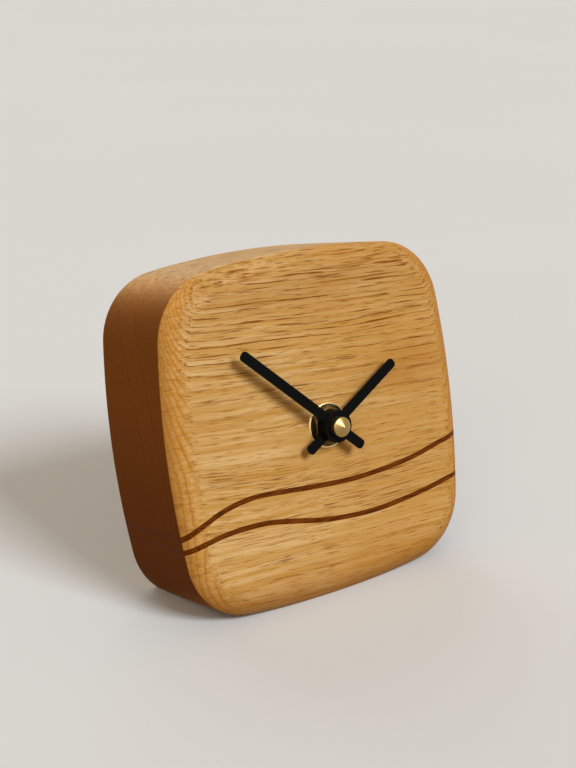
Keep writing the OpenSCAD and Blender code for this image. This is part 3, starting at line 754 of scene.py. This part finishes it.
def grain_group():
    """Fine all-over grain of a moulded, cast or coated surface."""
    tree, given, made = group_tree("fine_grain", {"Vector": None, "Size": 0.15}, ("Grain", "Clouds"))
    scaled = add(tree, "ShaderNodeVectorMath", operation="SCALE")
    wire(tree, given["Vector"], scaled.inputs[0])
    wire(tree, reckon(tree, "DIVIDE", 1.0, given["Size"]), scaled.inputs["Scale"])
    wire(tree, noise(tree, scaled.outputs[0], 1.0, 3.0, 0.6), made["Grain"])
    wire(tree, noise(tree, given["Vector"], CLOUD_SCALE, 3.0), made["Clouds"])
    return tree


def turned_group():
    """Fine rings that a lathe leaves round an axis square to the face."""
    tree, given, made = group_tree("turned_lines", {"Vector": None, "Pitch": 0.12}, ("Lines",))
    flat = stretch(tree, given["Vector"], (1, 1, 0))
    radius = vectors(tree, "LENGTH", flat)["Value"]
    _, _, depth = split(tree, given["Vector"])
    row = add(tree, "ShaderNodeTexNoise", noise_dimensions="1D")
    wire(tree, reckon(tree, "DIVIDE", reckon(tree, "ADD", radius, depth), given["Pitch"]), row.inputs["W"])
    row.inputs["Scale"].default_value = 1.0
    row.inputs["Detail"].default_value = 2.0
    wire(tree, row.outputs["Fac"], made["Lines"])
    return tree


PORES = pores_group()
FACING = facing_group()
EDGE = edge_group()
GRAIN = grain_group()
TURNED = turned_group()


def place_group(tree, group, vector=None, **values):
    """Puts a shared effect into a finish; returns its outputs."""
    item = add(tree, "ShaderNodeGroup", node_tree=group)
    if vector is not None:
        wire(tree, vector, item.inputs["Vector"])
    for label, value in values.items():
        feed(tree, item.inputs[label], value)
    return item.outputs


def new_finish(name, **sockets):
    """A material with its shader's own plain values set."""
    made = bpy.data.materials.new(name)
    made.use_nodes = True
    tree = made.node_tree
    shader = tree.nodes["Principled BSDF"]
    for label, value in sockets.items():
        shader.inputs[label.replace("_", " ")].default_value = value
    return made, tree, shader


def relief(tree, shader, height, depth_mm, strength):
    bump = add(tree, "ShaderNodeBump")
    bump.inputs["Distance"].default_value = depth_mm * MM
    bump.inputs["Strength"].default_value = strength
    wire(tree, height, bump.inputs["Height"])
    wire(tree, bump.outputs["Normal"], shader.inputs["Normal"])


# Oak: how its fibre runs, how its rings grow and what each layer of colour adds

FIBRE_SLOPE = 0.045
FIBRE_SWAY = 5.0
SWAY_SCALE = (0.014, 0.03, 0.03)
DIP_LEFT_OF = 10.0
DIP = -0.0013
HEART = (0, 14.5, 130)
FIRST_RING_R = 128.7
RING_RATE = 0.75
RING_CROWDING = 0.04
RING_BENDS = (((0.012, 0.045, 0.045), 1.4), ((0.05, 0.5, 0.5), 0.6))
EARLY_START, EARLY_STOP = (0.0, 0.06), (0.5, 0.12)
LATE_START, LATE_STOP = (0.35, 0.97), (1.0, 0.97)
BOLDER_UP = (4.0, 28.0, 0.5, 1.0)
CREST = (36.0, 44.0)
CREST_LOSS = -0.8
CREST_GAIN = 0.42
CALM_OFF_FACE = (0.3, 0.95, 0.35, 1.0)
CALM_AT_ENDS = (0.1, 0.6, 1.0, 0.5)
STRANDS = (44.0, 0.7, -0.1, 0.58)
WIDE_PORES = (14.0, 0.46, -0.16, 0.62)
FINE_PORES = (7.0, 0.4, -0.03, 0.57)
WIDE_UP = (-6.0, 24.0, 0.8, 1.0)
STRANDS_UP = (22.0, 40.0, 0.5, 0.85)
QUIET_SCALE, QUIET_AT = (0.045, 0.05, 0.0), (-1.7, 0.4, 0.0)
QUIET_FADE = (0.3, 1.1, 0.5, 1.0)
AMBER_SCALE, AMBER_AT = (0.05, 0.1, 0.0), (1.6, 1.45, 0.0)
AMBER_FADE = (1.1, 0.1)
STREAK_SCALE = (0.02, 0.8, 0.8)
PATCH_SCALE = (0.02, 0.05, 0.05)
STREAK_FADE = (0.35, 0.65)
HONEY_ACROSS, HONEY_SHARE = (-40.0, 40.0), 0.3
HONEY_FADE = (0.45, 0.85)
BROW_UP, BROW_FRONT = (28.0, 42.0), (0.4, 0.9)
ENDS_FADE = (0.15, 0.5)
RINGED_ENDS = 0.35
RAY_ALONG = 0.1
RAYS = {"Length": 4.0, "Width": 0.75, "Level": 0.54}
RIGHT_SHADE_FADE = (0.2, 0.7)
WARM_FADE = (0.1, 0.6)
TURNED_FADE = (0.5, 0.88)
LOWER_SHADE_FADE = (-33.0, -49.0)
END_GRAIN_SIDE, END_GRAIN_FRONT = (0.4, 0.94), (0.5, 0.2)
# Painted shade: the end grain is painted darker towards the bottom and lighter towards the top
END_SHADE_UP = (-32.0, 18.0)
END_RING_FADE = (0.8, 0.2, 0.0, 0.3)
END_SOAK_AND_SHADE_UP = (-30.0, 46.0, 0.97, 0.88)
OAK_PALE = srgb(223, 187, 127)
OAK_GOLD = srgb(203, 157, 82)
END_LOW = srgb(114, 57, 4)
END_HIGH = srgb(139, 76, 10)
END_RING = srgb(96, 44, 2)
OAK_LAYERS = {
    "early_wood": (0.25, (194, 141, 66)),
    "late_wood": (0.5, (195, 140, 64)),
    "honey": (0.6, (195, 143, 66)),
    "amber": (0.45, (178, 116, 40)),
    "brow": (0.25, (168, 122, 70)),
    "strands": (1.0, (162, 109, 38)),
    "fine_pores": (0.72, (148, 86, 2)),
    "wide_pores": (0.9, (126, 66, 0)),
    # painted shade: surfaces that face right are painted darker
    "shaded_right_side": (0.5, (148, 92, 32)),
    "warm_sides": (0.4, (226, 150, 36)),
    "cut_rings": (0.62, (146, 84, 18)),
    "rays": (0.36, (150, 88, 20)),
    "turned_sides": (0.28, (152, 92, 30)),
    # painted shade: the lowest part of the front and the bottom edge are painted darker orange-brown
    "shaded_lower_edge": (0.5, (168, 100, 14)),
}
OAK_ROUGH = 0.5
PORE_ROUGH = 0.15
END_ROUGH = 0.2
FINE_PORE_DEPTH = -0.4
OAK_RELIEF = (0.08, 0.5)


def oak_fibre(tree, place):
    """Place along the fibre, which rises to the right, sways and dips at the left."""
    u, v, n = split(tree, place)
    slant = times_plus(tree, u, FIBRE_SLOPE, v)
    slant = times_plus(tree, noise(tree, stretch(tree, place, SWAY_SCALE)), FIBRE_SWAY, slant)
    leftward = reckon(tree, "MINIMUM", reckon(tree, "ADD", u, DIP_LEFT_OF), 0.0)
    slant = times_plus(tree, times(tree, leftward, leftward), DIP, slant)
    return joined(tree, u, slant, n)


def oak_rings(tree, fibre):
    """How far through a year's growth a place is, from 0 to 1."""
    from_heart = vectors(tree, "ADD", fibre, HEART)["Vector"]
    radius = vectors(tree, "LENGTH", stretch(tree, from_heart, (0, 1, 1)))["Value"]
    for scale, reach in RING_BENDS:
        radius = times_plus(tree, noise(tree, stretch(tree, fibre, scale)), reach, radius)
    grown = reckon(tree, "SUBTRACT", radius, FIRST_RING_R)
    rate = times_plus(tree, grown, RING_CROWDING, RING_RATE)
    return reckon(tree, "FRACT", times(tree, grown, rate))


def oak_pores(tree, fibre, look, pull):
    """Pores that gather where pull is high."""
    length, width, gain, least = look
    gathered = times_plus(tree, pull, gain, least)
    return place_group(tree, PORES, fibre, Length=length, Width=width, Level=gathered)["Pores"]


def near_spot(tree, vector, scale, spot):
    """Distance from a spot on the face, in its own wide measure."""
    return vectors(tree, "DISTANCE", stretch(tree, vector, scale), spot)["Value"]


def oak_finish():
    """Flat-sawn oak, oiled: rings lie nearly along the face, pores run across it."""
    made, tree, shader = new_finish("oiled_oak", Specular_IOR_Level=0.1)
    place, normal = face_space(tree)
    u, v, n = split(tree, place)
    facing = place_group(tree, FACING, normal)
    sideways, forward = facing["Sideways"], facing["Forward"]
    fibre = oak_fibre(tree, place)
    ring = oak_rings(tree, fibre)
    early = times(tree, soft_step(tree, ring, *EARLY_START), soft_step(tree, ring, *EARLY_STOP))
    late = times(tree, soft_step(tree, ring, *LATE_START), soft_step(tree, ring, *LATE_STOP))

    # Pores follow the early wood of each ring, except along the top edge
    crest = soft_step(tree, v, *CREST)
    pull = times(tree, early, soft_step(tree, v, *BOLDER_UP))
    pull = times(tree, pull, times_plus(tree, crest, CREST_LOSS, 1.0))
    pull = times_plus(tree, crest, CREST_GAIN, pull)
    calm = times(tree, soft_step(tree, forward, *CALM_OFF_FACE), soft_step(tree, sideways, *CALM_AT_ENDS))
    quiet = soft_step(tree, near_spot(tree, place, QUIET_SCALE, QUIET_AT), *QUIET_FADE)
    strands = times(tree, oak_pores(tree, fibre, STRANDS, pull), soft_step(tree, v, *STRANDS_UP))
    wide = times(tree, oak_pores(tree, fibre, WIDE_PORES, pull), quiet)
    wide = times(tree, wide, times(tree, calm, soft_step(tree, v, *WIDE_UP)))
    fine = times(tree, oak_pores(tree, fibre, FINE_PORES, early), calm)

    # Rings and rays show where the edges cut across the fibre
    ends = soft_step(tree, sideways, *ENDS_FADE)
    ringed = times_plus(tree, ends, RINGED_ENDS, calm)
    early = times(tree, early, ringed)
    late = times(tree, late, ringed)
    across = joined(tree, n, v, times(tree, u, RAY_ALONG))
    rays = place_group(tree, PORES, across, **RAYS)["Pores"]

    streak = noise(tree, stretch(tree, fibre, STREAK_SCALE), 1.0, 3.0, 0.6)
    patch = noise(tree, stretch(tree, place, PATCH_SCALE))
    honey = times_plus(tree, soft_step(tree, u, *HONEY_ACROSS), HONEY_SHARE, patch)
    masks = {
        "early_wood": early,
        "late_wood": late,
        "honey": soft_step(tree, honey, *HONEY_FADE),
        "amber": soft_step(tree, near_spot(tree, fibre, AMBER_SCALE, AMBER_AT), *AMBER_FADE),
        "brow": times(tree, soft_step(tree, v, *BROW_UP), soft_step(tree, forward, *BROW_FRONT)),
        "strands": strands,
        "fine_pores": fine,
        "wide_pores": wide,
        # painted shade on surfaces that face right
        "shaded_right_side": soft_step(tree, facing["Right"], *RIGHT_SHADE_FADE),
        "warm_sides": soft_step(tree, sideways, *WARM_FADE),
        "cut_rings": times(tree, times(tree, late, late), ends),
        "rays": times(tree, rays, ends),
        "turned_sides": soft_step(tree, sideways, *TURNED_FADE),
        # painted shade towards the bottom edge
        "shaded_lower_edge": soft_step(tree, v, *LOWER_SHADE_FADE),
    }
    colour = blend(tree, soft_step(tree, streak, *STREAK_FADE), OAK_PALE, OAK_GOLD)
    for layer, (share, tone) in OAK_LAYERS.items():
        colour = blend(tree, times(tree, masks[layer], share), colour, srgb(*tone))

    # End grain soaks up the oil and goes dark; part of this darkness is painted shade, painted deeper
    # towards the bottom of the sides
    end_grain = soft_step(tree, sideways, *END_GRAIN_SIDE)
    end_grain = times(tree, end_grain, soft_step(tree, forward, *END_GRAIN_FRONT))
    dark_end = blend(tree, soft_step(tree, v, *END_SHADE_UP), END_LOW, END_HIGH)
    dark_end = blend(tree, soft_step(tree, ring, *END_RING_FADE), dark_end, END_RING)
    soaked_and_shaded = times(tree, end_grain, soft_step(tree, v, *END_SOAK_AND_SHADE_UP))
    wire(tree, blend(tree, soaked_and_shaded, colour, dark_end), shader.inputs["Base Color"])
    rough = times_plus(tree, wide, PORE_ROUGH, OAK_ROUGH)
    wire(tree, times_plus(tree, end_grain, END_ROUGH, rough), shader.inputs["Roughness"])
    height = times_plus(tree, wide, -1.0, times(tree, fine, FINE_PORE_DEPTH))
    relief(tree, shader, height, *OAK_RELIEF)
    return made


# The other finishes

WALNUT_STREAK_SCALE = (0.12, 1.6, 1.6)
WALNUT_STREAK_FADE = (0.38, 0.62)
WALNUT_PORES = {"Length": 4.0, "Width": 0.4, "Level": 0.56}
WALNUT_PORE_SHARE = 0.7
WALNUT_END_FADE = (0.6, 0.95, 0.0, 0.75)
WALNUT_ROUGH = (0.15, 0.45)
WALNUT_RELIEF = (0.06, 0.6)
WALNUT_BROWN = srgb(118, 60, 6)
WALNUT_DARK = srgb(82, 38, 2)
WALNUT_PORE = srgb(48, 21, 1)
WALNUT_END = srgb(116, 55, 4)
WEAR_REACH = 0.0003
CLOUD_FADE = (0.35, 0.7)
GRAIN_ROUGH = 0.2
METAL_GRAIN = 0.25
METAL_RELIEF = (0.02, 0.5)
LATHE_PITCH = 0.12
COAT_WEAR = 0.4
COAT_BUMP = 0.5
SLEEVE_GRAIN = 0.2
SLEEVE_TONES = ((150, 154, 156), (164, 168, 170))
SLEEVE_BANDS = ((-12.0, (226, 228, 226)), (-11.0, (38, 78, 116)))
SLEEVE_BAND_EDGE = 0.1
SLEEVE_RUBBED = (206, 208, 208)
SLEEVE_WEAR = 0.5
SLEEVE_ROUGH = (0.15, 0.28)
SLEEVE_RELIEF = (0.01, 0.4)

# Material, dull, bright and rubbed tones, roughness, share of rubbed edge, and whether a lathe made it
METALS = {
    # Painted reflection and shade: the plain brass is painted dark, standing for a dim room seen in it and
    # the hub's shade over the washer
    "brass": ("brass_painted_dark", (84, 66, 35), (108, 85, 45), (214, 188, 124), 0.34, 0.4, False),
    "steel": ("bright_steel", (186, 187, 188), (216, 217, 218), (236, 236, 236), 0.3, 0.7, False),
    "copper_wire": ("copper_winding", (170, 92, 48), (206, 124, 70), (232, 160, 106), 0.35, 0.7, False),
    "cap_nut": ("turned_brass", (170, 140, 82), (196, 168, 108), (248, 230, 176), 0.32, 0.7, True),
    # Painted highlight: the washer's rolled edge is painted near white, standing for light caught on it
    "washer_edge": ("brass_painted_bright", (238, 214, 150), (246, 226, 168), (250, 236, 186), 0.34, 0.7, True),
}

# Material, main, cloud and rubbed tones, roughness, size and depth of the grain, and specular level
COATS = {
    "black_metal": ("satin_black", (6, 6, 6), (8, 8, 8), (18, 18, 17), 0.5, 0.1, 0.02, 0.05),
    "rubber": ("black_rubber", (30, 30, 30), (38, 37, 36), (52, 50, 48), 0.75, 0.15, 0.02, 0.5),
    "black_plastic": ("moulded_black", (54, 54, 56), (58, 58, 60), (118, 118, 120), 0.42, 0.2, 0.03, 0.5),
    "pale_plastic": ("moulded_ivory", (226, 220, 202), (236, 232, 220), (244, 240, 230),
                     0.4, 0.15, 0.02, 0.5),
    "magnet": ("sintered_magnet", (52, 53, 56), (64, 65, 68), (96, 97, 100), 0.55, 0.15, 0.02, 0.5),
    "circuit": ("circuit_green", (24, 74, 44), (30, 86, 52), (140, 150, 110), 0.4, 0.15, 0.02, 0.5),
    "resin": ("black_resin", (14, 14, 15), (18, 18, 19), (30, 30, 32), 0.25, 0.15, 0.02, 0.5),
}


def walnut_finish():
    """Straight dark walnut, a little redder where the sides cut it."""
    made, tree, shader = new_finish("oiled_walnut", Specular_IOR_Level=0.06)
    place, normal = face_space(tree)
    sideways = place_group(tree, FACING, normal)["Sideways"]
    streak = noise(tree, stretch(tree, place, WALNUT_STREAK_SCALE), 1.0, 3.0, 0.6)
    pores = place_group(tree, PORES, place, **WALNUT_PORES)["Pores"]
    colour = blend(tree, soft_step(tree, streak, *WALNUT_STREAK_FADE), WALNUT_BROWN, WALNUT_DARK)
    colour = blend(tree, times(tree, pores, WALNUT_PORE_SHARE), colour, WALNUT_PORE)
    colour = blend(tree, soft_step(tree, sideways, *WALNUT_END_FADE), colour, WALNUT_END)
    wire(tree, colour, shader.inputs["Base Color"])
    wire(tree, times_plus(tree, streak, *WALNUT_ROUGH), shader.inputs["Roughness"])
    relief(tree, shader, times(tree, pores, -1.0), *WALNUT_RELIEF)
    return made


def clouded(tree, grain, main, other):
    """Two near tones in faint clouds."""
    return blend(tree, soft_step(tree, grain["Clouds"], *CLOUD_FADE), srgb(*main), srgb(*other))


def rubbed(tree, colour, tone, share):
    """A tone that shows along rubbed edges."""
    worn = place_group(tree, EDGE, Reach=WEAR_REACH)["Edge"]
    return blend(tree, times(tree, worn, share), colour, srgb(*tone))


def metal_finish(name, dull, bright, edge_tone, rough, wear, lathe):
    """Bare metal with a lathe's or a press's fine marks and brighter edges."""
    made, tree, shader = new_finish(name, Metallic=1.0)
    place, _ = face_space(tree)
    grain = place_group(tree, GRAIN, place, Size=METAL_GRAIN)
    marks = place_group(tree, TURNED, place, Pitch=LATHE_PITCH)["Lines"] if lathe else grain["Grain"]
    colour = rubbed(tree, clouded(tree, grain, dull, bright), edge_tone, wear)
    wire(tree, colour, shader.inputs["Base Color"])
    wire(tree, times_plus(tree, marks, GRAIN_ROUGH, rough - GRAIN_ROUGH / 2), shader.inputs["Roughness"])
    relief(tree, shader, marks, *METAL_RELIEF)
    return made


def coated_finish(name, main, other, edge_tone, rough, size, depth, specular):
    """Moulded plastic, rubber or black coating: fine grain, faint clouds, rubbed edges."""
    made, tree, shader = new_finish(name, Specular_IOR_Level=specular)
    place, _ = face_space(tree)
    grain = place_group(tree, GRAIN, place, Size=size)
    colour = rubbed(tree, clouded(tree, grain, main, other), edge_tone, COAT_WEAR)
    wire(tree, colour, shader.inputs["Base Color"])
    mottled = times_plus(tree, grain["Grain"], GRAIN_ROUGH, rough - GRAIN_ROUGH / 2)
    wire(tree, mottled, shader.inputs["Roughness"])
    relief(tree, shader, grain["Grain"], depth, COAT_BUMP)
    return made


def sleeve_finish():
    """The battery's sleeve: plain grey with a plain blue band and a pale line beside it."""
    made, tree, shader = new_finish("battery_sleeve", Coat_Weight=0.3)
    place, _ = face_space(tree)
    along, _, _ = split(tree, place)
    grain = place_group(tree, GRAIN, place, Size=SLEEVE_GRAIN)
    colour = clouded(tree, grain, *SLEEVE_TONES)
    for start, tone in SLEEVE_BANDS:
        colour = blend(tree, soft_step(tree, along, start, start + SLEEVE_BAND_EDGE), colour, srgb(*tone))
    wire(tree, rubbed(tree, colour, SLEEVE_RUBBED, SLEEVE_WEAR), shader.inputs["Base Color"])
    wire(tree, times_plus(tree, grain["Grain"], *SLEEVE_ROUGH), shader.inputs["Roughness"])
    relief(tree, shader, grain["Grain"], *SLEEVE_RELIEF)
    return made


def dress(obj, finish):
    if not obj.material_slots:
        obj.data.materials.append(None)
    for holder in obj.material_slots:
        holder.material = finish


finishes = {"oak": oak_finish(), "walnut": walnut_finish(), "battery_can": sleeve_finish()}
for slot, look in METALS.items():
    finishes[slot] = metal_finish(*look)
for slot, look in COATS.items():
    finishes[slot] = coated_finish(*look)
for part in frame["record"]["subparts"]:
    dress(nodes[part["node"]], finishes[part["material_slot"]])
dress(nodes["cap_nut"], finishes["cap_nut"])
for piece, slot in made_pieces:
    piece.data.materials.clear()
    dress(piece, finishes[slot])
dress(washer_edge, finishes["washer_edge"])


# Stage, light and camera

FLOOR_R = 12.0
FLOOR_STEPS = 96
FLOOR_CLOUDS = 3.0
FLOOR_SEEN = (srgb(223, 226, 226), srgb(227, 230, 230))
FLOOR_BOUNCE = srgb(118, 94, 64)
ROOM_LIGHT = (0.31, 0.246, 0.18)
BACKGROUND = srgb(217, 214, 208)
LAMP_FAR = 2.0
CAMERA_AT = Vector((-0.2238271, -0.3051052, 0.1883531))
CAMERA_LOOK = Vector((0.549088, 0.770125, -0.324668))
LENS = 65.625
FILM_HEIGHT = 36
NEAREST = 0.01

# Direction of each lamp, its strength, its width in degrees as the clock sees it, and its tint
LAMPS = {
    "key": ((0.16, -0.78, 0.605), 2.15, 22, (0.965, 1.0, 1.07)),
    "left_fill": ((-0.62, -0.6, 0.5), 0.56, 36, (1.03, 0.91, 0.76)),
    "back_fill": ((0.2, 0.8, 0.56), 0.7, 50, (1.0, 1.0, 1.0)),
}


def aim(obj, place, target):
    obj.location = place
    obj.rotation_euler = (Vector(target) - Vector(place)).to_track_quat("-Z", "Y").to_euler()


def soft_lamp(name, direction, strength, spread, tint):
    """A broad even lamp far away."""
    lamp = bpy.data.lights.new(name, "SUN")
    lamp.energy = strength
    lamp.color = tint
    lamp.angle = radians(spread)
    obj = bpy.data.objects.new(name, lamp)
    scene.collection.objects.link(obj)
    aim(obj, Vector(direction) * LAMP_FAR, (0, 0, 0))


def seen_ray(tree):
    """1 where the camera looks, straight or by way of a shiny surface; 0 for light that falls."""
    ray = add(tree, "ShaderNodeLightPath")
    seen = reckon(tree, "MAXIMUM", ray.outputs["Is Camera Ray"], ray.outputs["Is Glossy Ray"])
    return reckon(tree, "MAXIMUM", seen, ray.outputs["Is Transmission Ray"])


def pale_floor():
    """A wide plain floor that throws the warm light of a wooden table back on the clock."""
    bm = bmesh.new()
    bmesh.ops.create_circle(bm, cap_ends=True, segments=FLOOR_STEPS, radius=FLOOR_R)
    floor = as_object(bm, "pale_floor")
    made, tree, shader = new_finish("pale_floor", Roughness=0.9, Specular_IOR_Level=0.0)
    source = add(tree, "ShaderNodeTexCoord")
    seen = blend(tree, noise(tree, source.outputs["Object"], FLOOR_CLOUDS), *FLOOR_SEEN)
    wire(tree, blend(tree, seen_ray(tree), FLOOR_BOUNCE, seen), shader.inputs["Base Color"])
    floor.data.materials.append(made)


def studio_world():
    """Even light from all round; the camera and reflections see a pale background instead."""
    world = bpy.data.worlds.new("studio")
    scene.world = world
    world.use_nodes = True
    tree = world.node_tree
    shown = blend(tree, seen_ray(tree), ROOM_LIGHT, BACKGROUND)
    wire(tree, shown, tree.nodes["Background"].inputs["Color"])


pale_floor()
studio_world()
for name, lamp in LAMPS.items():
    soft_lamp(name, *lamp)

camera = bpy.data.objects.new("camera", bpy.data.cameras.new("camera"))
scene.collection.objects.link(camera)
camera.data.sensor_fit = "VERTICAL"
camera.data.sensor_height = FILM_HEIGHT
camera.data.lens = LENS
camera.data.clip_start = NEAREST
aim(camera, CAMERA_AT, CAMERA_AT + CAMERA_LOOK)
scene.camera = camera
scene.view_settings.view_transform = "Standard"
